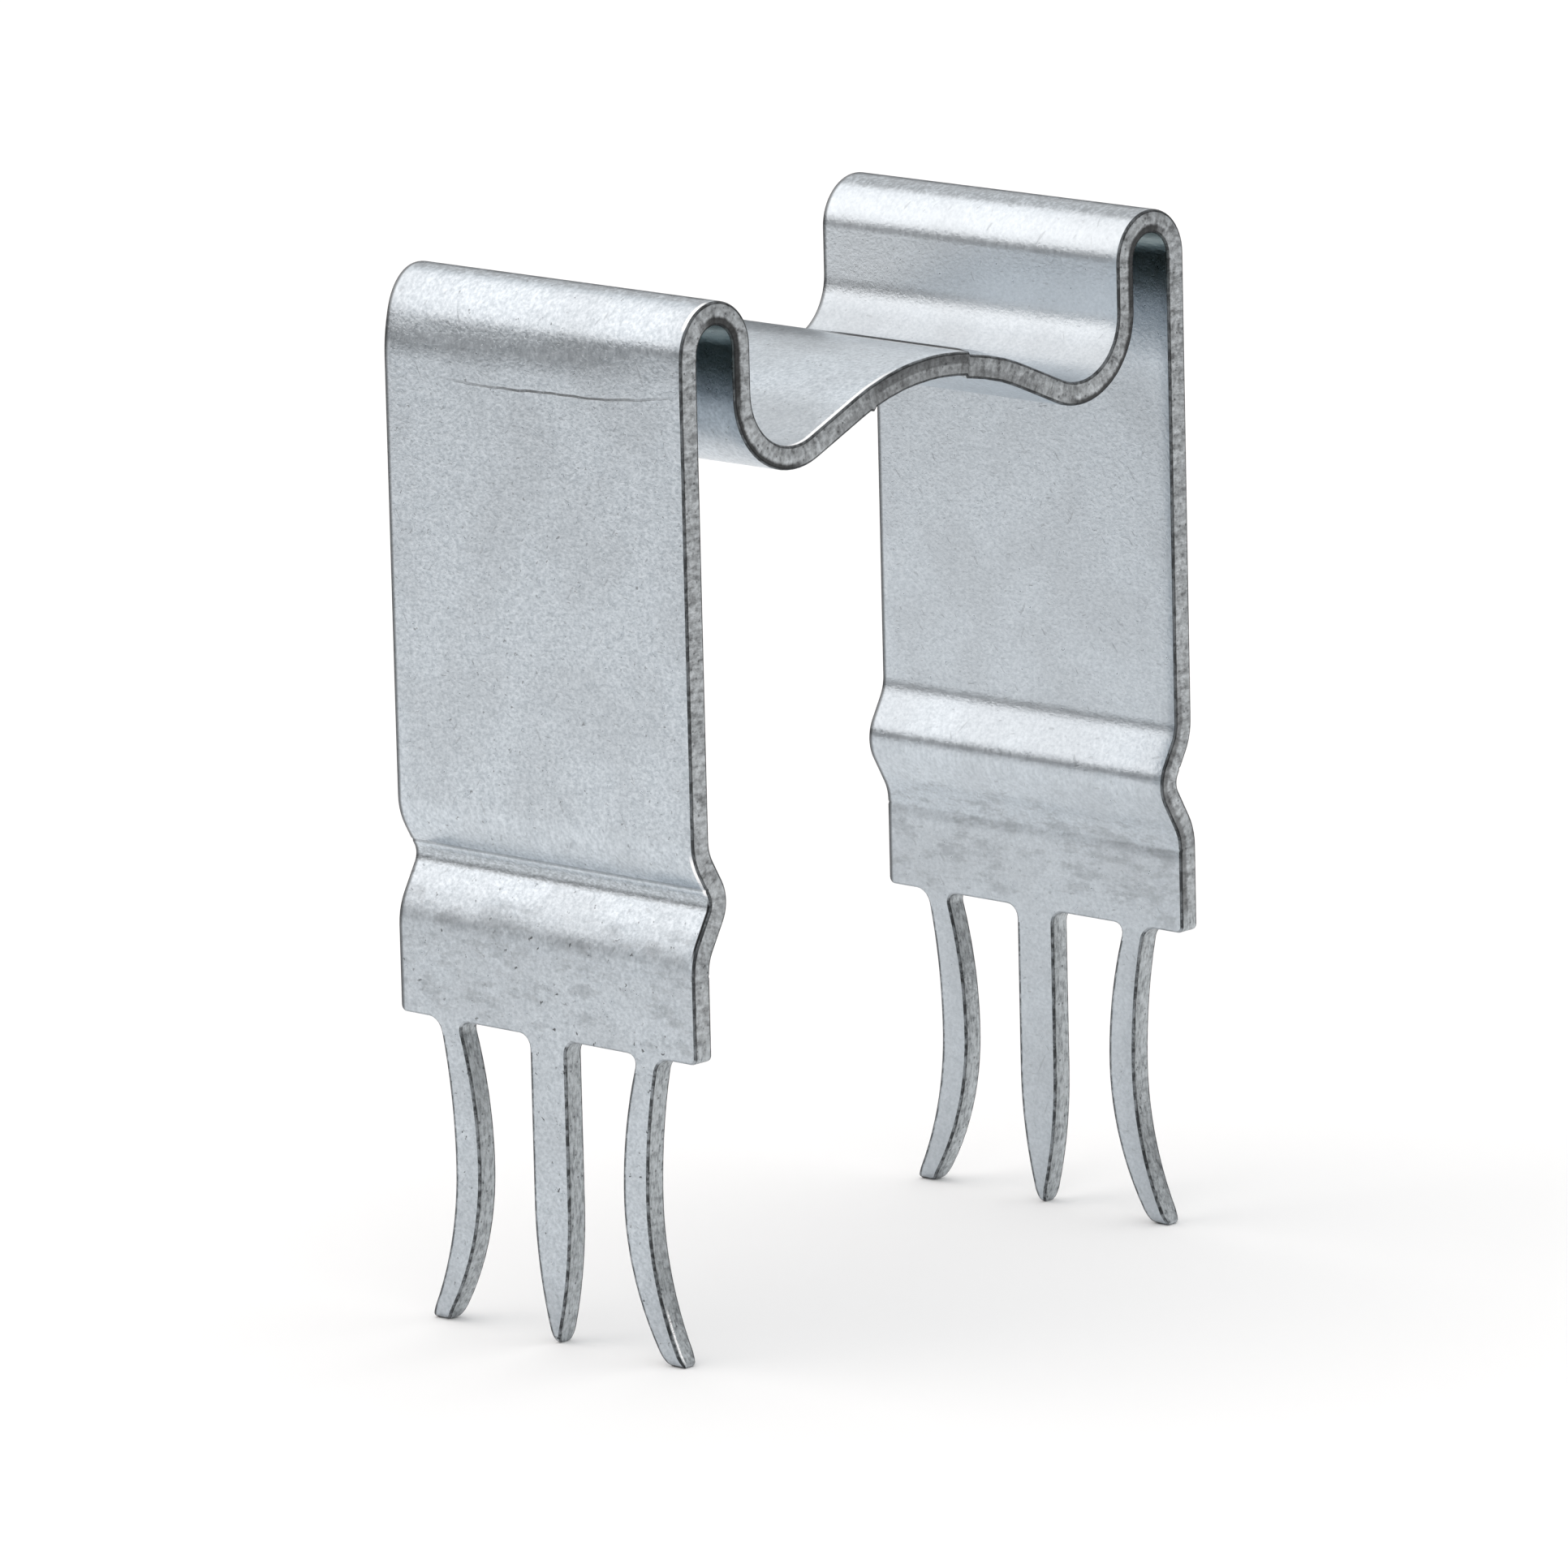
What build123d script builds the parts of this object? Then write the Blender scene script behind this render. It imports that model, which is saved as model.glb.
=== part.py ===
from build123d import *
import math
import os

# Conduit clip: one strip of galvanised spring steel, blanked flat and then bent.
# Millimetres. X runs from leg to leg, Y along the conduit, Z up.
# The origin is midway between the legs, on the plane that the six prong tips stand on.

# Sheet and strip
sheet = 0.7
strip_width = 11.6

# Conduit that the legs take between them, with a little room at the sides,
# and that the beads press up against the bridge
conduit_diameter = 20.0
conduit_clearance = 0.1
conduit_squeeze = 0.11

# Inward bead across each leg, which the conduit snaps past
bead_depth = 0.68
bead_flank_angle = 30.0
bead_valley_inside_radius = 0.5
bead_shoulder_inside_radius = 1.2

# Hairpin at the top of each leg, which rises above the crown of the bridge
hairpin_gap = 1.5
hairpin_rise = 2.9

# Sprung bridge between the hairpins: a dip at each end and a low crown in the middle
crown_inside_radius = 8.1
bridge_slope = 23.2
dip_inside_radius = 1.75

# Plate from the prongs' roots up to the middle of the bead,
# which stands a little further out than the leg above it
plate_height = 4.55
plate_set_out = 0.1
plate_corner_radius = 0.2

# Length of the prongs, and the radius between them and the plate
prong_length = 9.0
root_radius = 0.4

# Centre prong, which narrows to a point with curved sides
centre_prong_width = 1.4
centre_prong_taper_length = 4.1
centre_prong_tip_radius = 0.12

# Outer prongs, which bow towards the middle and flare out to a small blunt foot
outer_prong_inset = 1.5
outer_prong_root_width = 0.77
outer_prong_waist_width = 0.97
outer_prong_foot_width = 0.66
outer_prong_bow = 0.5
outer_prong_flare = 1.2
outer_prong_waist_height = 4.75
outer_prong_foot_radius = 0.15

# Flat that breaks every cut edge; faces that turn by less than the angle run on smoothly
edge_break = 0.06
smooth_angle = 20.0

# Radii of the bends at the middle of the sheet
valley_radius = bead_valley_inside_radius + sheet / 2
shoulder_radius = bead_shoulder_inside_radius + sheet / 2
hairpin_radius = (hairpin_gap + sheet) / 2
crown_radius = crown_inside_radius + sheet / 2
dip_radius = dip_inside_radius + sheet / 2

# Places of the middle of the sheet, out from the middle of the clip
leg_x = (conduit_diameter + conduit_clearance + sheet) / 2
plate_x = leg_x + plate_set_out
wall_x = leg_x - 2 * hairpin_radius

# Heights, from the prongs' tips up: the conduit stands on the beads,
# the slopes of the bridge lie on the conduit, and the hairpins rise above the bridge
bead_z = prong_length + plate_height
conduit_radius = conduit_diameter / 2
bead_reach = leg_x - sheet / 2 - bead_depth
conduit_z = bead_z + math.sqrt(conduit_radius**2 - bead_reach**2) - conduit_squeeze
slope = math.radians(bridge_slope)
slopes_meet_z = conduit_z + (conduit_radius + sheet / 2) / math.cos(slope)
dip_corner_z = slopes_meet_z - wall_x * math.tan(slope)
crown_z = slopes_meet_z - crown_radius * (1 / math.cos(slope) - 1)
clip_height = crown_z + sheet / 2 + hairpin_rise
hairpin_z = clip_height - sheet / 2 - hairpin_radius


def leg_line():
    """Middle of the sheet in one leg, from just below the tips up to the hairpin."""
    angle = math.radians(bead_flank_angle)
    corner_depth = bead_depth + valley_radius * (1 / math.cos(angle) - 1)
    rise_to_leg = corner_depth / math.tan(angle)
    drop_to_plate = (corner_depth + plate_set_out) / math.tan(angle)
    return FilletPolyline(
        (plate_x, -sheet),
        (plate_x, bead_z - drop_to_plate),
        (leg_x - corner_depth, bead_z),
        (leg_x, bead_z + rise_to_leg),
        (leg_x, hairpin_z),
        radius=[shoulder_radius, valley_radius, shoulder_radius],
    )


def hairpin_line():
    """Middle of the sheet in the half turn over the top of a leg."""
    return ThreePointArc(
        (leg_x, hairpin_z),
        (leg_x - hairpin_radius, hairpin_z + hairpin_radius),
        (wall_x, hairpin_z),
    )


def bridge_line():
    """Middle of the sheet from one hairpin to the other, over both dips and the crown."""
    return FilletPolyline(
        (wall_x, hairpin_z),
        (wall_x, dip_corner_z),
        (0, slopes_meet_z),
        (-wall_x, dip_corner_z),
        (-wall_x, hairpin_z),
        radius=[dip_radius, crown_radius, dip_radius],
    )


def bent_strip():
    """The whole bend at full width and a little over, before the prongs are cut."""
    half = leg_line() + hairpin_line()
    middle = half + bridge_line() + mirror(half, about=Plane.YZ)
    profile = make_face(Wire(middle.edges()).offset_2d(sheet / 2, side=Side.BOTH))
    upright = Plane.XZ * profile
    return extrude(upright, amount=strip_width / 2 + sheet, both=True)


def centre_prong_side():
    """Right-hand side of the centre prong, from its tip up to the plate."""
    half_width = centre_prong_width / 2
    tip = centre_prong_tip_radius
    taper = centre_prong_taper_length
    reach = taper - tip
    side_radius = (half_width**2 + reach**2 - tip**2) / (2 * (half_width - tip))
    centre = Vector(half_width - side_radius, taper)
    towards_tip = (Vector(0, tip) - centre).normalized()
    leaves_tip = centre + towards_tip * side_radius
    tip_arc = TangentArc((0, 0), leaves_tip, tangent=(1, 0))
    side_arc = TangentArc((half_width, taper), leaves_tip, tangent=(0, -1))
    side_line = Line((half_width, taper), (half_width, prong_length))
    return [tip_arc, side_arc, side_line]


def rounded(outline, corners, radius):
    """The outline with the corners nearest to the given points rounded."""
    picked = [outline.vertices().sort_by_distance(corner)[0] for corner in corners]
    return fillet(picked, radius)


def blank_half():
    """Half of the flat outline: plate, half the centre prong and one outer prong."""
    half_strip = strip_width / 2
    centre_side = centre_prong_width / 2
    root_outer = half_strip - outer_prong_inset
    root_inner = root_outer - outer_prong_root_width
    waist_outer = root_outer - outer_prong_bow
    waist_inner = waist_outer - outer_prong_waist_width
    foot_outer = waist_outer + outer_prong_flare
    foot_inner = foot_outer - outer_prong_foot_width
    waist = outer_prong_waist_height
    shoulder = prong_length
    above = clip_height + sheet
    lines = centre_prong_side() + [
        Line((centre_side, shoulder), (root_inner, shoulder)),
        TangentArc((waist_inner, waist), (root_inner, shoulder), tangent=(0, 1)),
        TangentArc((waist_inner, waist), (foot_inner, 0), tangent=(0, -1)),
        Line((foot_inner, 0), (foot_outer, 0)),
        TangentArc((waist_outer, waist), (foot_outer, 0), tangent=(0, -1)),
        TangentArc((waist_outer, waist), (root_outer, shoulder), tangent=(0, 1)),
        Line((root_outer, shoulder), (half_strip, shoulder)),
        Polyline((half_strip, shoulder), (half_strip, above), (0, above), (0, 0)),
    ]
    outline = make_face([edge for line in lines for edge in line.edges()])
    roots = [(centre_side, shoulder), (root_inner, shoulder), (root_outer, shoulder)]
    outline = rounded(outline, roots, root_radius)
    outline = rounded(outline, [(half_strip, shoulder)], plate_corner_radius)
    return rounded(outline, [(foot_inner, 0), (foot_outer, 0)], outer_prong_foot_radius)


def blank():
    """The outline that both legs are cut to, as a block through the whole clip."""
    half = blank_half()
    whole = half + mirror(half, about=Plane.YZ)
    return extrude(Plane.YZ * whole, amount=plate_x + sheet, both=True)


def cut_edges(clip):
    """Edges where two faces meet at a corner, and don't run on smoothly."""
    beside = {}
    for face in clip.faces():
        for edge in face.edges():
            beside.setdefault(edge, []).append(face)
    corners = []
    for edge, (first, second) in beside.items():
        middle = edge @ 0.5
        turn = first.normal_at(middle).get_angle(second.normal_at(middle))
        if turn > smooth_angle:
            corners.append(edge)
    return corners


def conduit_clip():
    """The finished clip, with its cut edges broken."""
    clip = bent_strip() & blank()
    return clip.chamfer(edge_break, None, cut_edges(clip))


os.makedirs("parts", exist_ok=True)
export_step(conduit_clip(), "parts/clip.step")
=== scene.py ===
import math

import bmesh
import bpy
from mathutils import Matrix, Vector


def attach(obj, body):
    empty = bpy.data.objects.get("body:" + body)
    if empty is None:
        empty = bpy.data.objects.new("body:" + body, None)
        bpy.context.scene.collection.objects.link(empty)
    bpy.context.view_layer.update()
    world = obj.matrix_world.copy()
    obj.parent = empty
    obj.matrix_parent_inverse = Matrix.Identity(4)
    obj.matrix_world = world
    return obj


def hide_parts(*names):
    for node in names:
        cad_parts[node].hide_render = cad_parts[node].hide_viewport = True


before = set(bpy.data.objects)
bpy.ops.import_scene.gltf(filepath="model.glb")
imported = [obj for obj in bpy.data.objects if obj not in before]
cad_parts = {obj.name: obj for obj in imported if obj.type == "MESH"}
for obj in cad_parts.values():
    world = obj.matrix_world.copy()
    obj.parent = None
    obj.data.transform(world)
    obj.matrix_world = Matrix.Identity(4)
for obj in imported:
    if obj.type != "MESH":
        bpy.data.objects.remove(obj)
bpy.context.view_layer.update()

# Conduit clip. Sizes are in millimetres until the finished strip is scaled to metres.
# The strip is made flat, as a blank lying along X, and is then bent round its middle line.
# On the blank, s runs along the strip from the left tips, y across it and t through it.
MM = 0.001

# Strip
sheet = 0.7
strip_width = 11.6
half_sheet = sheet / 2
half_strip = strip_width / 2

# Bends, as radii at the middle of the sheet
shoulder_radius = 1.2 + half_sheet
valley_radius = 0.5 + half_sheet
hairpin_radius = (1.5 + sheet) / 2
dip_radius = 1.75 + half_sheet
crown_radius = 8.1 + half_sheet
bead_flank = math.radians(30)
bridge_slope = math.radians(23.2)

# Places of the middle line
leg_x = 10.4
plate_x = leg_x + 0.1
wall_x = leg_x - 2 * hairpin_radius
bead_z = 13.55
bead_depth = 0.68
top_z = 30.7004 - half_sheet
slopes_meet_z = 28.1939

# Blank
prong_length = 9.0
plate_end = 11.1
root_radius = 0.4
plate_corner_radius = 0.2
foot_radius = 0.15
centre_prong_half = 0.7
centre_prong_taper = 4.1
centre_prong_tip = 0.12
waist_z = 4.75
prong_outer = {"root": 4.3, "waist": 3.8, "foot": 5.0}
prong_inner = {"root": 3.53, "waist": 2.83, "foot": 4.34}
edge_round = 0.07

# Cross columns of the blank, between the prongs' own sides
column_y = (2.1, 5.3)

# The prongs' own sides start this far below their roots, and the centre one's points lie this near to it
below_root = 0.05
beside_centre_prong = 0.5

# Heights of the cross lines on the prongs, and the space between cross lines on the leg and bridge
first_fall = 0.5
falls_per_prong = 22
foot_fall = 0.22
tip_falls = [centre_prong_tip * part for part in (1.0, 0.65, 0.35, 0.15, 0.0)]
turn_per_station = math.radians(6)
longest_step = 0.6
shortest_step = 0.05
drawn_in_step = 0.12
drawn_in_stations = 9

# Share of its normal from which a face counts as facing one way, and how near to a place its points lie
facing = 0.9
close = 0.01
same_point = 0.001

# The left hairpin is drawn in a little at its foot, less at the front of the strip and most at the back
draw_in = 0.1
draw_in_below = 1.1
draw_in_above = 1.7
draw_in_front_share = 0.25
draw_in_back_extra = 0.25
draw_in_full_y = -1.0
draw_in_extra_y = 2.0

# Step in the bridge's front edge, from the shear, at this distance from the middle
edge_step_at = 1.33
edge_step = 0.08
edge_step_run_out = 2.6
edge_step_full_y = half_strip - 0.1

# Fine lip over the crown, raised at the same place from near the front edge back to the middle
lip = 0.045
lip_wall = 0.03
lip_run_out = 1.6

# Small burr under the bridge's front edge, on the other side of the middle
burr_at = -2.9
burr = 0.07
burr_reach = 0.12
burr_width = 0.05

# The prongs' ends are worn round through their thickness
worn_tip = 0.42
worn_tip_share = 0.8

# Fine creases from the press, along the strip from its tips: outside over the bead, and inside below it
outer_crease = 14.35
inner_crease = 11.49
crease_depth = 0.03
crease_reach = 0.07


def middle_corners():
    """Corners of the middle line before its bends are rounded, as (x, z), and the bends' radii."""
    corner_depth = bead_depth + valley_radius * (1 / math.cos(bead_flank) - 1)
    rise = corner_depth / math.tan(bead_flank)
    drop = (corner_depth + plate_x - leg_x) / math.tan(bead_flank)
    dip_z = slopes_meet_z - wall_x * math.tan(bridge_slope)
    left = [
        (-plate_x, 0), (-plate_x, bead_z - drop), (-leg_x + corner_depth, bead_z),
        (-leg_x, bead_z + rise), (-leg_x, top_z), (-wall_x, top_z), (-wall_x, dip_z),
    ]
    radii = [shoulder_radius, valley_radius, shoulder_radius, hairpin_radius, hairpin_radius, dip_radius]
    corners = left + [(0, slopes_meet_z)] + [(-x, z) for x, z in reversed(left)]
    return [Vector(c) for c in corners], radii + [crown_radius] + radii[::-1]


def bending_plan():
    """The middle line as runs of (length, heading at the start, turn over the run)."""
    corners, radii = middle_corners()
    runs = []
    taken = 0.0
    for i, corner in enumerate(corners[1:], 1):
        step = corner - corners[i - 1]
        heading = math.atan2(step.y, step.x)
        if i == len(corners) - 1:
            runs.append((step.length - taken, heading, 0.0))
            break
        turn = -step.angle_signed(corners[i + 1] - corner)
        tangent = radii[i - 1] * math.tan(abs(turn) / 2)
        runs.append((step.length - taken - tangent, heading, 0.0))
        runs.append((radii[i - 1] * abs(turn), heading, turn))
        taken = tangent
    return runs


plan = bending_plan()
strip_length = sum(length for length, _, _ in plan)
half_length = strip_length / 2
runs_below_hairpin = 7
hairpin_start = sum(length for length, _, _ in plan[:runs_below_hairpin])


def on_middle_line(s):
    """Point and outward normal of the middle line at the distance s from the left tips."""
    at = Vector((-plate_x, 0))
    for length, heading, turn in plan:
        reach = min(s, length)
        if turn:
            curvature = turn / length
            end = heading + curvature * reach
            move = Vector((math.sin(end) - math.sin(heading), math.cos(heading) - math.cos(end))) / curvature
        else:
            end = heading
            move = Vector((math.cos(heading), math.sin(heading))) * reach
        at = at + move
        s -= reach
        if s <= 1e-9:
            break
    return at, Vector((-math.sin(end), math.cos(end)))


def stations():
    """Places along the left half where the blank gets a cross line, close together in the bends."""
    kept = [half_length]
    for crease in (outer_crease, inner_crease):
        kept += [crease + crease_reach * k for k in (-1, 0, 1)]
    kept += [half_length - edge_step_at + lip_wall * k for k in (-1, 1)]
    kept += [half_length + burr_at + burr_reach * k for k in (-1, 0, 1)]
    places = [hairpin_start - drawn_in_step * k for k in range(1, drawn_in_stations + 1)]
    start = 0.0
    for length, _, turn in plan:
        steps = max(1, round(abs(turn) / turn_per_station), round(length / longest_step))
        places += [start + length * (k + 1) / steps for k in range(steps)]
        start += length
    for s in sorted(places):
        if plate_end + 2 * shortest_step < s < half_length and all(abs(s - k) > shortest_step for k in kept):
            kept.append(s)
    return sorted(kept)


def arc_side(s, side):
    """How far an outer prong's edge lies from the strip's middle at the height s."""
    end = "root" if s > waist_z else "foot"
    reach = prong_length - waist_z if s > waist_z else waist_z
    offset = side[end] - side["waist"]
    radius = (offset**2 + reach**2) / (2 * offset)
    return side["waist"] + radius - math.sqrt(radius**2 - (s - waist_z) ** 2)


def outer_sides(s, sign):
    """Both edges of the outer prong on one side of the middle, at the height s."""
    return sorted((sign * arc_side(s, prong_inner), sign * arc_side(s, prong_outer)))


def centre_side(s):
    """Half the width of the centre prong at the height s."""
    tip = centre_prong_tip
    reach = centre_prong_taper - tip
    radius = (centre_prong_half**2 + reach**2 - tip**2) / (2 * (centre_prong_half - tip))
    if s >= centre_prong_taper:
        return centre_prong_half
    leaves = tip - tip * reach / (radius - tip)
    if s >= leaves:
        return centre_prong_half - radius + math.sqrt(radius**2 - (centre_prong_taper - s) ** 2)
    return math.sqrt(max(tip**2 - (tip - s) ** 2, 1e-4))


def pull(bm, faces):
    """Extrudes the faces, leaves none of them inside, and returns the new end faces."""
    made = bmesh.ops.extrude_face_region(bm, geom=faces)["geom"]
    bmesh.ops.delete(bm, geom=faces, context="FACES_ONLY")
    return [item for item in made if isinstance(item, bmesh.types.BMFace)]


def pull_prong(bm, face, heights, sides):
    """Draws one prong down from its root face, station by station."""
    middle = face.calc_center_median().y
    for s in heights:
        (face,) = pull(bm, [face])
        low, high = sides(s)
        for vert in face.verts:
            vert.co.x = s
            vert.co.y = low if vert.co.y < middle else high
        middle = (low + high) / 2


def side_edges(bm, places):
    """Edges through the thickness at the given (s, y) places."""
    found = []
    for edge in bm.edges:
        a, b = (v.co for v in edge.verts)
        if abs(a.z - b.z) > half_sheet and any((a.xy - Vector(p)).length < close for p in places):
            found.append(edge)
    return found


def plate_block(roots):
    """The block between the prongs' roots and the bead, cut into columns at the roots' sides."""
    bm = bmesh.new()
    bmesh.ops.create_cube(bm, size=1.0)
    bmesh.ops.scale(bm, vec=(plate_end - prong_length, strip_width, sheet), verts=bm.verts)
    bmesh.ops.translate(bm, vec=((plate_end + prong_length) / 2, 0, 0), verts=bm.verts)
    for y in [side * column for side in (-1, 1) for column in roots + column_y]:
        bmesh.ops.bisect_plane(
            bm, geom=bm.verts[:] + bm.edges[:] + bm.faces[:], plane_co=(0, y, 0), plane_no=(0, 1, 0)
        )
    return bm


def pull_prongs(bm):
    """Draws the three prongs down from the block, and clears the lines over their roots."""
    ends = [f for f in bm.faces if f.normal.x < -facing]
    highest = prong_length - first_fall
    falls = [highest - highest * k / falls_per_prong for k in range(falls_per_prong)]
    for face in ends:
        middle = face.calc_center_median().y
        if abs(middle) < close:
            heights = falls + [foot_fall] + tip_falls
            pull_prong(bm, face, heights, lambda s: (-centre_side(s), centre_side(s)))
        elif prong_inner["root"] < abs(middle) < prong_outer["root"]:
            heights = falls + [foot_fall, 0.0]
            pull_prong(bm, face, heights, lambda s, sign=math.copysign(1, middle): outer_sides(s, sign))
    bm.normal_update()
    at_roots = [
        e for e in bm.edges
        if all(abs(f.normal.z) > facing for f in e.link_faces)
        and any(abs(v.co.x - prong_length) < close for v in e.verts)
    ]
    bmesh.ops.dissolve_edges(bm, edges=at_roots, use_verts=False)


def round_corners(bm, roots):
    """Rounds the prongs' roots, the plate's corners and the outer prongs' feet."""
    feet = (prong_inner["foot"], prong_outer["foot"])
    for radius, s, sides in (
        (root_radius, prong_length, roots),
        (plate_corner_radius, prong_length, (half_strip,)),
        (foot_radius, 0, feet),
    ):
        places = [(s, side * y) for side in (-1, 1) for y in sides]
        bmesh.ops.bevel(
            bm, geom=side_edges(bm, places), affect="EDGES", offset=radius, segments=5,
            profile=0.5, material=-1, clamp_overlap=False,
        )


def half_blank():
    """Left half of the flat strip: prongs, plate, and the leg as far as the middle of the bridge."""
    roots = (centre_prong_half, prong_inner["root"], prong_outer["root"])
    bm = plate_block(roots)
    pull_prongs(bm)
    round_corners(bm, roots)
    tops = [f for f in bm.faces if f.normal.x > facing and f.calc_center_median().x > plate_end - close]
    for s in stations():
        tops = pull(bm, tops)
        for vert in {v for f in tops for v in f.verts}:
            vert.co.x = s
    bmesh.ops.delete(bm, geom=tops, context="FACES")
    return bm


def whole_blank():
    """The flat strip from tips to tips, with its cut edges rounded."""
    bm = half_blank()
    bmesh.ops.translate(bm, vec=(-half_length, 0, 0), verts=bm.verts)
    bmesh.ops.mirror(bm, geom=bm.verts[:] + bm.edges[:] + bm.faces[:], axis="X", merge_dist=same_point)
    bmesh.ops.remove_doubles(bm, verts=bm.verts, dist=same_point)
    bmesh.ops.translate(bm, vec=(half_length, 0, 0), verts=bm.verts)
    bmesh.ops.recalc_face_normals(bm, faces=bm.faces)
    rim = []
    for edge in bm.edges:
        flat_faces = [f for f in edge.link_faces if abs(f.normal.z) > facing]
        if len(flat_faces) == 1:
            rim.append(edge)
    bmesh.ops.bevel(
        bm, geom=rim, affect="EDGES", offset=edge_round, segments=3, profile=0.5, material=-1,
        clamp_overlap=False,
    )
    return bm


def smooth_step(x, low, high):
    part = min(max((x - low) / (high - low), 0.0), 1.0)
    return part * part * (3 - 2 * part)


def drawn_in(s, y):
    """How far the left hairpin's foot is drawn in, which fades out up and down the leg."""
    past = s - hairpin_start
    from_front = smooth_step(y, -half_strip, draw_in_full_y)
    at_back = smooth_step(y, draw_in_extra_y, half_strip)
    depth = draw_in * (draw_in_front_share + (1 - draw_in_front_share) * from_front)
    depth *= 1 + draw_in_back_extra * at_back
    if -draw_in_below < past <= 0:
        return depth * (1 + past / draw_in_below) ** 2
    if 0 < past < draw_in_above:
        part = past / draw_in_above
        slope = 2 * draw_in_above / draw_in_below
        return depth * (1 - part) ** 2 * (1 + (2 + slope) * part)
    return 0.0


def stepped_down(s, y):
    """How far the front edge of the bridge lies low beyond its step."""
    past = s - half_length - edge_step_at
    if past < 0 or past > edge_step_run_out or y > -column_y[1] - close:
        return 0.0
    along_edge = 1 - smooth_step(past, 0, edge_step_run_out)
    return edge_step * along_edge * smooth_step(-y, column_y[1], edge_step_full_y)


def burred(s, y, t):
    """How far the burr hangs below the bridge's front edge."""
    if t > 0 or y > burr_width - half_strip:
        return 0.0
    return burr * max(0.0, 1 - abs(s - half_length - burr_at) / burr_reach)


def creased(s, t):
    """How far the surface is pressed in at the fine creases."""
    crease = outer_crease if t > 0 else inner_crease
    if abs(t) < half_sheet - edge_round:
        return 0.0
    nearest = min(abs(s - crease), abs(strip_length - s - crease))
    return math.copysign(crease_depth, t) * max(0.0, 1 - nearest / crease_reach)


def raised(s, y, t):
    """How far the lip over the crown stands up, which dies out near the front edge and at the middle."""
    past = s - half_length - edge_step_at
    if past < 0 or t < half_sheet - same_point:
        return 0.0
    along_lip = smooth_step(y, edge_round - half_strip, -column_y[1])
    behind = smooth_step(y, -centre_prong_half, centre_prong_half)
    return lip * (1 - smooth_step(past, lip_wall, lip_run_out)) * along_lip * (1 - behind)


def on_lip_wall(edge, flat_place):
    """Whether the edge runs along the foot or the top of the lip."""
    for vert in edge.verts:
        s, y, t = vert[flat_place]
        past = s - half_length - edge_step_at
        if abs(abs(past) - lip_wall) > close or y > centre_prong_half + close or t < half_sheet - same_point:
            return False
    return abs(edge.verts[0][flat_place].x - edge.verts[1][flat_place].x) < close


def on_prong(s, y):
    """Distance back from the middle of a prong, and half its width there; far from any edge elsewhere."""
    height = min(s, strip_length - s)
    if height > prong_length - root_radius - below_root:
        return Vector((0, strip_width, 0))
    if abs(y) < centre_prong_half + beside_centre_prong:
        return Vector((y, centre_side(height), 0))
    low, high = outer_sides(height, 1)
    return Vector((y - math.copysign((low + high) / 2, y), (high - low) / 2, 0))


def worn(s):
    """Share of its thickness that a prong keeps towards its end."""
    from_end = min(s, strip_length - s)
    part = max(0.0, 1 - from_end / worn_tip)
    return math.sqrt(1 - worn_tip_share * part * part)


def bend(bm):
    """Bends the flat strip round its middle line, and keeps where each point lay on the flat blank, in mm."""
    flat_place = bm.verts.layers.float_vector.new("flat")
    prong_place = bm.verts.layers.float_vector.new("prong")
    for vert in bm.verts:
        s, y, t = vert.co
        vert[flat_place] = vert.co
        vert[prong_place] = on_prong(s, y)
        at, out = on_middle_line(s)
        t *= worn(s)
        t -= drawn_in(s, y) + stepped_down(s, y) + burred(s, y, t) + creased(s, t) - raised(s, y, t)
        vert.co = Vector((at.x + out.x * t, y, at.y + out.y * t)) * MM
    for face in bm.faces:
        face.smooth = True
    for edge in bm.edges:
        edge.smooth = not on_lip_wall(edge, flat_place)


def placed(name, bm):
    """A scene object made from the finished mesh."""
    mesh = bpy.data.meshes.new(name)
    bm.to_mesh(mesh)
    bm.free()
    piece = bpy.data.objects.new(name, mesh)
    bpy.context.scene.collection.objects.link(piece)
    return piece


def clip_object():
    bm = whole_blank()
    bend(bm)
    piece = placed("bent_strip", bm)
    even = piece.modifiers.new("even_shading", "WEIGHTED_NORMAL")
    even.keep_sharp = True
    return piece


# Galvanised steel. Its marks are set out on the flat blank, in mm.

steel = bpy.data.materials.new("galvanised_steel")
steel.use_nodes = True
tree = steel.node_tree


def node(kind, inputs=None, **settings):
    """A shader node with its settings, and its inputs as numbers or as other nodes' outputs."""
    made = tree.nodes.new(kind)
    for name, value in settings.items():
        setattr(made, name, value)
    for name, value in (inputs or {}).items():
        if isinstance(value, bpy.types.NodeSocket):
            tree.links.new(value, made.inputs[name])
        else:
            made.inputs[name].default_value = value
    return made


def maths(operation, *values):
    """One arithmetic step on one to three values."""
    return node("ShaderNodeMath", dict(enumerate(values)), operation=operation).outputs["Value"]


def product(first, *others):
    for value in others:
        first = maths("MULTIPLY", first, value)
    return first


def largest(first, *others):
    for value in others:
        first = maths("MAXIMUM", first, value)
    return first


def summed(base, *parts):
    """The base with each value added by its share."""
    for value, share in parts:
        base = maths("MULTIPLY_ADD", value, share, base)
    return base


def mixture(first, share, second):
    """The first value by its share, and the second by the rest."""
    return summed(product(second, 1 - share), (first, share))


def between(value, low, high, at_low=0.0, at_high=1.0):
    """The value's way from low to high, as a smooth change from at_low to at_high."""
    inputs = {"Value": value, "From Min": low, "From Max": high, "To Min": at_low, "To Max": at_high}
    return node("ShaderNodeMapRange", inputs, interpolation_type="SMOOTHSTEP").outputs["Result"]


def away(value, middle):
    """How far the value is from the middle, to either side."""
    return maths("ABSOLUTE", maths("SUBTRACT", value, middle))


def near(value, place):
    """One at the middle of the place, and nothing beyond its reach."""
    middle, reach = place
    return between(away(value, middle), reach, reach * 0.6)


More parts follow.
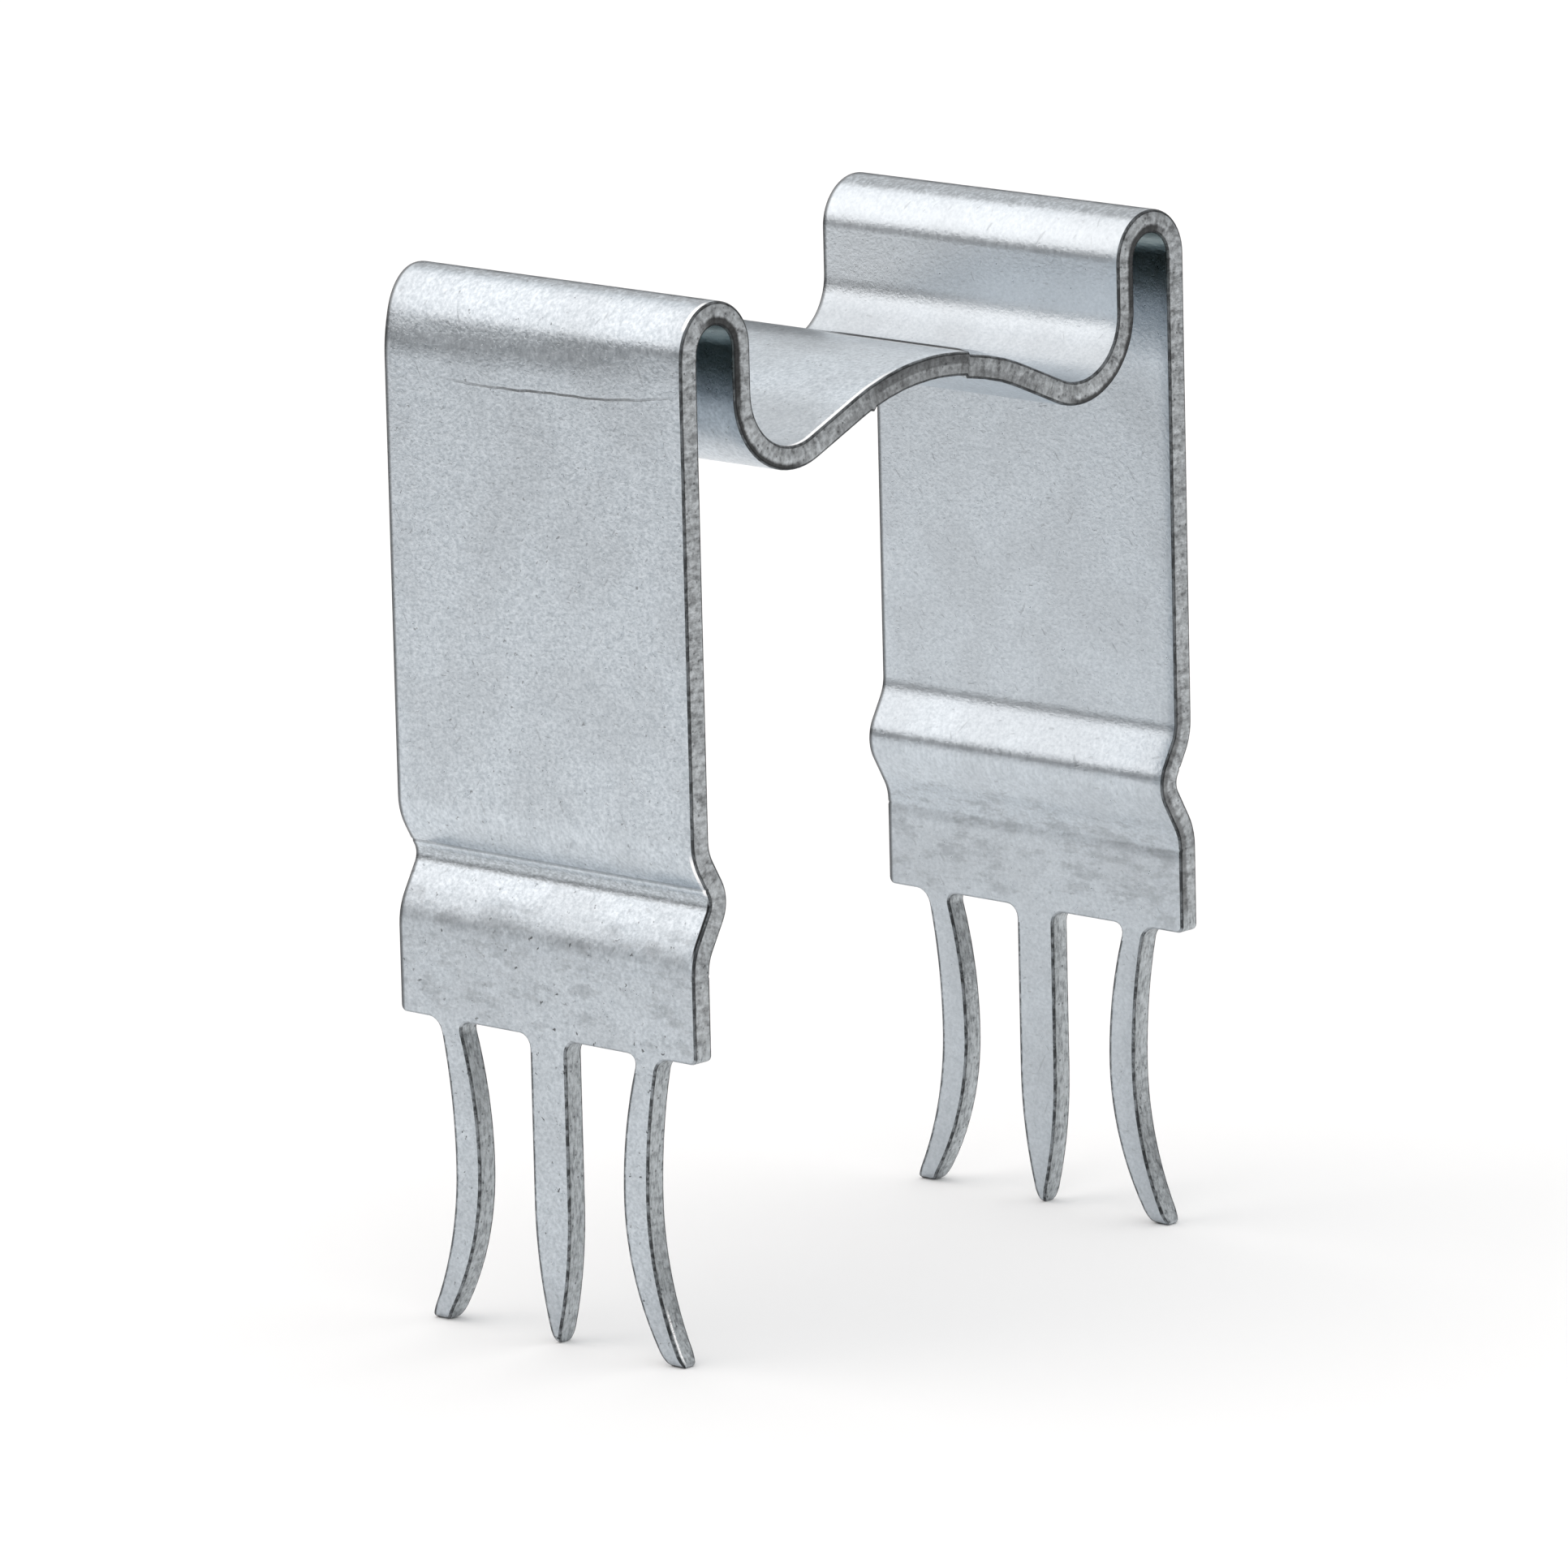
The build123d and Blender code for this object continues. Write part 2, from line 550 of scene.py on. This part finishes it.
def mottle(place, scale, detail, roughness=0.5, stretch=None):
    """Cloudy variation of the given scale, in parts per millimetre."""
    if stretch:
        place = node("ShaderNodeVectorMath", {0: place, 1: stretch}, operation="MULTIPLY").outputs["Vector"]
    inputs = {"Vector": place, "Scale": scale, "Detail": detail, "Roughness": roughness}
    return node("ShaderNodeTexNoise", inputs).outputs["Fac"]


def specks(place, scale, size, share):
    """Small spots, in the given share of the cells."""
    cells = node("ShaderNodeTexVoronoi", {"Vector": place, "Scale": scale})
    lot = node("ShaderNodeSeparateColor", {"Color": cells.outputs["Color"]}).outputs["Red"]
    spot = between(cells.outputs["Distance"], size, size * 0.5)
    return product(spot, maths("LESS_THAN", lot, share))


def fine_scratches(turn, length, rarity):
    """Fine straight scratches in one direction, of about the given length in millimetres."""
    turned = node(
        "ShaderNodeVectorRotate", {"Vector": flat, "Angle": math.radians(turn)}, rotation_type="Z_AXIS"
    ).outputs["Vector"]
    streaked = mottle(turned, 1.0, 1.0, 0.4, stretch=(0.7 / length, 0.35 / fine_scratch_width, 2.0))
    return between(streaked, rarity, rarity + 0.05)


def two_tones(value, low, high, dark, light):
    ramp = node("ShaderNodeValToRGB", {"Fac": value})
    for stop, position, colour in zip(ramp.color_ramp.elements, (low, high), (dark, light)):
        stop.position = position
        stop.color = (*colour, 1)
    return ramp.outputs["Color"]


def laid_over(base, *marks):
    """The base colour with each mark, an amount and a colour, laid over it in turn."""
    for amount, colour in marks:
        colour = colour if isinstance(colour, bpy.types.NodeSocket) else (*colour, 1)
        base = node("ShaderNodeMix", {0: amount, 6: base, 7: colour}, data_type="RGBA").outputs[2]
    return base


def kept_place(name):
    """A place that the mesh keeps with each point, whole and as its three parts."""
    vector = node("ShaderNodeAttribute", attribute_name=name, attribute_type="GEOMETRY").outputs["Vector"]
    parts = node("ShaderNodeSeparateXYZ", {"Vector": vector}).outputs
    return vector, parts["X"], parts["Y"], parts["Z"]


# Colours of the zinc face and its marks, some of them painted shade and painted highlights
zinc_dark = (0.448, 0.496, 0.538)
zinc_light = (0.668, 0.72, 0.766)
zinc_even = (0.54, 0.588, 0.63)
painted_light_zinc = (0.75, 0.79, 0.82)
zinc_dull = (0.36, 0.38, 0.4)
painted_highlight_white = (0.9, 0.91, 0.92)
corner_highlight_white = (0.97, 0.97, 0.97)
spot_grey = (0.14, 0.145, 0.15)
low_spot_grey = (0.08, 0.084, 0.088)
low_end_grey = (0.33, 0.35, 0.37)
smudge_and_crease_shade_grey = (0.16, 0.17, 0.18)
scratch_line_and_shade_grey = (0.2, 0.21, 0.22)
scratch_and_reflection_grey = (0.13, 0.135, 0.14)
valley_shade_grey = (0.25, 0.265, 0.275)
back_edge_reflection_grey = (0.1, 0.105, 0.11)
lip_shade_grey = (0.02, 0.021, 0.022)
hollow_shade_teal = (0.17, 0.225, 0.23)
dip_shade_grey = (0.3, 0.32, 0.335)

# Colours of the sheared edge
cut_dark = (0.18, 0.187, 0.192)
cut_light = (0.575, 0.605, 0.625)
torn_grey = (0.08, 0.083, 0.085)
right_leg_grey = (0.08, 0.08, 0.08)
inner_bend_grey = (0.032, 0.032, 0.032)
prong_side_dark = (0.2, 0.215, 0.225)
prong_side_light = (0.53, 0.565, 0.585)
pit_grey = (0.05, 0.052, 0.055)
corner_grey = (0.022, 0.023, 0.024)

# Places of the marks, each as its middle and its reach to either side.
# From the crown, less than nothing on the left:
painted_light_on_right_rise = (10.4, 2.0)
dip_reflection_line_run = (-7.2, 1.3)
lip_highlight_place = (1.1, 0.2)
lip_foot = (edge_step_at, 0.055)
torn_crown = (-0.6, 2.6)
torn_bridge = (0.2, 6.2)
hairpin_corner_highlight = (-13.42, 0.55)
rise_corner_highlight = (-4.3, 2.9)
# Past the crown, on both sides:
hairpin_top_shade = (12.65, 0.55)
hairpin_hollow_shade = (12.8, 3.4)
dip = (6.3, 3.0)
hairpin_cut = (11.4, 2.6)
dip_cut = (7.9, 2.3)
# From the nearer tips:
plate_smudges = (10.9, 2.2)
bead_valley_shade = (13.75, 0.5)
crease_shade_line = (outer_crease, 0.07)
dull_plate = (11.9, 0.9)
# From the left tips:
bead_corner_highlight = (14.75, 0.75)
cut_below_bead = (12.9, 1.1)
foot_corner_highlight = (0.9, 0.9)
# Across the strip, and through it:
dip_reflection_line_side = (-5.42, 0.04)
foot_corner_highlight_depth = (0.2, 0.045)

# Curved scratch: how far below the left hairpin it runs, its curve and slant, and half its width
scratch_below_hairpin = 1.53
scratch_curve = 0.0095
scratch_slant = -0.02
scratch_half_width = 0.048

# Fine scratches: their width, and each direction's turn, length and rarity
fine_scratch_width = 0.05
fine_scratch_directions = ((35, 0.35, 0.735), (100, 0.25, 0.74), (155, 0.8, 0.76))

# Where a point lies on the strip and in its thickness, and the zones that the marks keep to
flat, along, across, through = kept_place("flat")
_, behind_prong_middle, prong_half_width, _ = kept_place("prong")
off_middle = maths("ABSOLUTE", through)
from_crown = maths("SUBTRACT", along, half_length)
past_crown = maths("ABSOLUTE", from_crown)
from_tips = maths("SUBTRACT", half_length, past_crown)
outside = between(through, 0.25, 0.3)
inside = between(through, -0.25, -0.3)
on_skin = between(off_middle, 0.335, 0.345)
sheared = between(off_middle, 0.34, 0.29)
right_half = between(from_crown, 2.0, 8.0)
on_prongs = between(from_tips, 10.0, 9.2)

# Patterns of the face and of the cut
cloud = mottle(flat, 0.4, 3.0)
spangle = mottle(flat, 3.2, 4.0, 0.65)
grain = mottle(flat, 8.0, 3.0, 0.65, stretch=(1.25, 1.0, 1.0))
mixed = mixture(grain, 0.68, spangle)
blotches = mottle(flat, 4.5, 4.0, 0.65)
ribs = mottle(flat, 3.0, 3.0, 0.6, stretch=(1.8, 1.0, 0.5))
streaks = mottle(flat, 8.0, 3.0, 0.7, stretch=(0.4, 1.0, 1.5))
smudged = mottle(flat, 1.5, 4.0, 0.65, stretch=(1.7, 0.6, 1.0))

# Spots of irregular outline, fewer on the right half and more below the left bead
wander = node("ShaderNodeTexNoise", {"Vector": flat, "Scale": 9.0, "Detail": 1.0}).outputs["Color"]
astray = node(
    "ShaderNodeVectorMath", {0: wander, 1: (0.22, 0.3, 0.22), 2: flat}, operation="MULTIPLY_ADD"
).outputs["Vector"]
dark_spots = product(specks(astray, 2.8, 0.13, 0.6), between(right_half, 0.0, 1.0, 1.0, 0.35))
low_spots = product(specks(astray, 2.4, 0.14, 0.7), between(along, 14.5, 11.5), 0.9)
lines = largest(*[fine_scratches(*direction) for direction in fine_scratch_directions])


def long_lines():
    """Two long lines: the curved one scratched under the left hairpin, which wavers, and a straight painted
    dark reflection line in the left dip.
    """
    waver = summed(-0.15, (cloud, 0.3))
    curve = summed(waver, (product(across, across), scratch_curve), (across, scratch_slant))
    off_curve = maths("SUBTRACT", maths("SUBTRACT", along, curve), hairpin_start - scratch_below_hairpin)
    uneven_depth = between(spangle, 0.3, 0.5, 0.3, 1.0)
    curved = product(near(off_curve, (0.0, scratch_half_width)), outside, uneven_depth)
    # Painted dark reflection line along the left dip, near its front edge
    reflection_line_in_left_dip = product(near(across, dip_reflection_line_side), near(from_crown, dip_reflection_line_run), outside)
    fading = between(away(across, -1.0), 5.4, 1.0, 0.0, 0.85)
    return product(largest(curved, reflection_line_in_left_dip), fading)


def zinc_face(scratch_and_reflection_line):
    """The zinc with its clouds, spots, scratches and dirt, and with painted shade and painted highlights laid
    over it.
    """
    duller_at_tips = between(from_tips, 3.5, 0.5, 0.0, 0.35)
    duller_plate = between(from_tips, 11.8, 10.8, 0.0, 0.17)
    smudges = product(between(smudged, 0.48, 0.66, 0.0, 0.3), near(from_tips, plate_smudges))
    # Painted shade in the beads' valleys on the outside, mottled by the grain
    valley_shade = product(outside, near(from_tips, bead_valley_shade), between(mixed, 0.62, 0.38, 0.15, 0.5))
    along_lip = product(outside, between(across, 0.7, -1.2))
    # Painted highlight: a bright mottled strip just before the lip over the crown
    painted_lip_highlight = product(along_lip, near(from_crown, lip_highlight_place), between(spangle, 0.35, 0.6, 0.15, 0.6))
    # Painted shade: a darker strip along the tops of the hairpins, on the outside, in the fine scratches'
    # grey
    painted_shade_along_top = product(outside, near(past_crown, hairpin_top_shade), between(mixed, 0.62, 0.42, 0.25, 0.6))
    return laid_over(
        two_tones(mixed, 0.38, 0.62, zinc_dark, zinc_light),
        (product(right_half, 0.35), zinc_even),
        (between(cloud, 0.35, 0.62, 0.2, 0.0), zinc_dull),
        (product(dark_spots, 0.6), spot_grey),
        (largest(duller_at_tips, duller_plate), low_end_grey),
        # Painted light: the far hairpin's wall, right of the crown, is brightened
        (product(near(from_crown, painted_light_on_right_rise), 0.3), painted_light_zinc),
        (low_spots, low_spot_grey),
        (smudges, smudge_and_crease_shade_grey),
        (product(lines, 0.25), scratch_line_and_shade_grey),
        # The long scratched line, and the painted dark reflection line in the left dip
        (scratch_and_reflection_line, scratch_and_reflection_grey),
        (valley_shade, valley_shade_grey),
        # Painted shade along the fine creases over the beads, in the smudges' grey
        (product(outside, near(from_tips, crease_shade_line), 0.45), smudge_and_crease_shade_grey),
        # Painted dark reflection on the skin beside the back edge's rounded corner, all along the strip
        (product(between(across, 5.6, 5.7), 0.85), back_edge_reflection_grey),
        (painted_lip_highlight, painted_highlight_white),
        # Painted shade along the foot of the lip
        (product(along_lip, near(from_crown, lip_foot), 0.95), lip_shade_grey),
        (painted_shade_along_top, scratch_line_and_shade_grey),
        # Painted shade inside the hairpins' hollows, tinted teal
        (product(inside, near(past_crown, hairpin_hollow_shade), 0.85), hollow_shade_teal),
        # Painted shade over the bridge's dips, on the outside
        (product(outside, near(past_crown, dip), 0.35), dip_shade_grey),
    )


def sheared_edge():
    """The cut through the sheet: ribbed and blotched, darker where it is torn, and streaked on the prongs."""
    ribbed = mixture(ribs, 0.4, blotches)
    uneven = summed(through, (ribs, 0.1))
    inner_band = between(uneven, 0.02, -0.09)
    torn_over_crown = product(between(through, -0.03, 0.04), near(from_crown, torn_crown), 0.65)
    torn_below = product(between(uneven, 0.16, -0.1, 0.1, 0.5), near(from_crown, torn_bridge))
    in_hairpin = product(near(past_crown, hairpin_cut), inner_band)
    in_dip = product(near(past_crown, dip_cut), between(uneven, -0.05, -0.17))
    right_leg = between(from_crown, 26.0, 29.0)
    streaked = mixture(streaks, 0.7, blotches)
    return laid_over(
        two_tones(ribbed, 0.36, 0.6, cut_dark, cut_light),
        (torn_over_crown, torn_grey),
        (torn_below, torn_grey),
        (product(largest(in_hairpin, in_dip), 0.93), inner_bend_grey),
        (product(right_leg, inner_band, 0.6), right_leg_grey),
        (product(on_prongs, 0.8), two_tones(streaked, 0.37, 0.56, prong_side_dark, prong_side_light)),
        (product(specks(flat, 4.5, 0.22, 0.5), 0.6), pit_grey),
    )


def corner_lines():
    """Dark line along each corner of the cut; beside it, a painted dark reflection on the prongs' backs, and
    a dark line below the left bead.
    """
    front_side = between(behind_prong_middle, 0.1, 0.0)
    worn_off = product(
        front_side, between(spangle, 0.6, 0.4, 0.0, 0.4), between(on_prongs, 0.0, 1.0, 0.5, 1.0)
    )
    rim = product(
        between(off_middle, 0.255, 0.285), between(off_middle, 0.3499, 0.347),
        maths("SUBTRACT", 0.92, worn_off),
        between(away(from_tips, prong_length), 0.1, 0.2, 0.35, 1.0),
    )
    from_side = maths("SUBTRACT", prong_half_width, maths("ABSOLUTE", behind_prong_middle))
    # Painted dark reflection on the skin beside the rim, as from a wider rounded edge
    painted_reflection_beside_rim = product(
        on_skin, between(from_side, 0.14, 0.09), between(spangle, 0.62, 0.45, 0.35, 0.8),
        between(front_side, 1.0, 0.0),
    )
    below_bead = product(near(along, cut_below_bead), between(across, -5.66, -5.7), on_skin)
    return largest(rim, painted_reflection_beside_rim, below_bead)


def roll_highlights():
    """Painted highlights on the roll of the die along the front corner, in places on the left, and on a
    foot's corner.
    """
    corner_highlight = largest(
        near(from_crown, hairpin_corner_highlight), near(from_crown, rise_corner_highlight), near(along, bead_corner_highlight)
    )
    # Painted highlight along the rounded front corner
    roll = product(corner_highlight, between(through, 0.342, 0.348), between(across, -5.61, -5.65))
    foot = product(
        near(along, foot_corner_highlight), near(through, foot_corner_highlight_depth), between(across, -3.4, -3.5)
    )
    return largest(roll, foot)


def finish_steel():
    """Joins colour, roughness and relief to the steel's shader."""
    scratch_and_reflection_line = long_lines()
    # The front corner's painted highlights, which are also made smoother
    roll = roll_highlights()
    colour = laid_over(
        zinc_face(scratch_and_reflection_line), (sheared, sheared_edge()), (corner_lines(), corner_grey), (roll, corner_highlight_white)
    )
    roughness = summed(
        0.23, (spangle, 0.14), (sheared, 0.1), (roll, -0.15),
        (near(from_tips, dull_plate), between(cloud, 0.35, 0.65, 0.08, 0.2)),
    )
    relief = summed(
        spangle, (grain, 1.0), (lines, -0.3), (scratch_and_reflection_line, -0.8), (dark_spots, -0.6),
        (product(blotches, sheared), 3.0),
    )
    bump = node("ShaderNodeBump", {"Height": relief, "Strength": 1.0, "Distance": 0.000008})
    shader = tree.nodes["Principled BSDF"]
    shader.inputs["Metallic"].default_value = 1.0
    tree.links.new(colour, shader.inputs["Base Color"])
    tree.links.new(roughness, shader.inputs["Roughness"])
    tree.links.new(bump.outputs["Normal"], shader.inputs["Normal"])


# Studio

def plain_material(name, colour, roughness):
    material = bpy.data.materials.new(name)
    material.use_nodes = True
    shader = material.node_tree.nodes["Principled BSDF"]
    shader.inputs["Base Color"].default_value = (*colour, 1)
    shader.inputs["Roughness"].default_value = roughness
    return material


def floor():
    bm = bmesh.new()
    bmesh.ops.create_circle(bm, cap_ends=True, radius=4.0, segments=96)
    piece = placed("floor", bm)
    piece.data.materials.append(plain_material("pale_floor", (0.975, 0.975, 0.975), roughness=0.9))


def dark_wall(name, radius, height, colour, first=0.0, last=360.0):
    """A dark upright wall round part of the clip, out of the camera's sight, for the metal to mirror."""
    bm = bmesh.new()
    foot = bm.verts.new((radius, 0, 0))
    bmesh.ops.rotate(bm, verts=[foot], cent=(0, 0, 0), matrix=Matrix.Rotation(math.radians(first), 3, "Z"))
    bmesh.ops.spin(
        bm, geom=[foot], cent=(0, 0, 0), axis=(0, 0, 1), angle=math.radians(last - first), steps=48,
        use_duplicate=False,
    )
    made = bmesh.ops.extrude_edge_only(bm, edges=bm.edges[:])["geom"]
    top = [v for v in made if isinstance(v, bmesh.types.BMVert)]
    bmesh.ops.translate(bm, vec=(0, 0, height), verts=top)
    piece = placed(name, bm)
    piece.data.materials.append(plain_material(name, colour, roughness=0.9))
    piece.visible_camera = False
    piece.visible_shadow = False
    piece.visible_diffuse = False


def soft_box(name, towards, distance, size, power, colour):
    """A square soft light that looks at the middle of the clip."""
    lamp = bpy.data.lights.new(name, "AREA")
    lamp.color = colour
    lamp.shape = "SQUARE"
    lamp.size = size
    lamp.energy = power
    piece = bpy.data.objects.new(name, lamp)
    direction = Vector(towards).normalized()
    piece.location = Vector((0, 0, 0.015)) + direction * distance
    piece.rotation_euler = direction.to_track_quat("Z", "Y").to_euler()
    bpy.context.scene.collection.objects.link(piece)


def studio():
    world = bpy.data.worlds.new("studio")
    bpy.context.scene.world = world
    world.use_nodes = True
    background = world.node_tree.nodes["Background"]
    background.inputs["Color"].default_value = (1, 1, 1, 1)
    background.inputs["Strength"].default_value = 1.0
    floor()
    dark_wall("low_wall", radius=0.27, height=0.06, colour=(0.02, 0.021, 0.022))
    dark_wall("side_wall", radius=0.35, height=0.12, colour=(0.05, 0.053, 0.056), first=-10, last=68)
    soft_box(
        "back_light", towards=(-0.35, 0.67, 0.65), distance=0.8, size=1.0, power=1.9,
        colour=(1.0, 0.91, 0.86),
    )


def camera():
    """Stands where the photograph was taken from, which shows as a long lens a little above the clip."""
    around = math.radians(-47.17)
    above = math.radians(12.08)
    roll = math.radians(-1.39)
    distance = 0.3779
    aside = 0.000375
    down = 0.002406
    looked_at = Vector((0, 0, 0.017))
    sensor_width = 36
    picture_width = 1932
    lens_in_pixels = 16055
    back = Vector((math.sin(around) * math.cos(above), -math.cos(around) * math.cos(above), math.sin(above)))
    level = Vector((math.cos(around), math.sin(around), 0))
    upright = back.cross(level)
    right = level * math.cos(roll) + upright * math.sin(roll)
    up = upright * math.cos(roll) - level * math.sin(roll)
    lens = bpy.data.cameras.new("camera")
    lens.sensor_width = sensor_width
    lens.lens = sensor_width * lens_in_pixels / picture_width
    lens.clip_start = 0.01
    lens.clip_end = 20
    piece = bpy.data.objects.new("camera", lens)
    place = looked_at + back * distance - right * aside - up * down
    turned = Matrix((right, up, back)).transposed()
    piece.matrix_world = Matrix.LocRotScale(place, turned.to_quaternion(), None)
    bpy.context.scene.collection.objects.link(piece)
    bpy.context.scene.camera = piece


clip = clip_object()
finish_steel()
clip.data.materials.append(steel)
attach(clip, "root")
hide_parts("clip")
studio()
camera()
bpy.context.scene.view_settings.view_transform = "Standard"
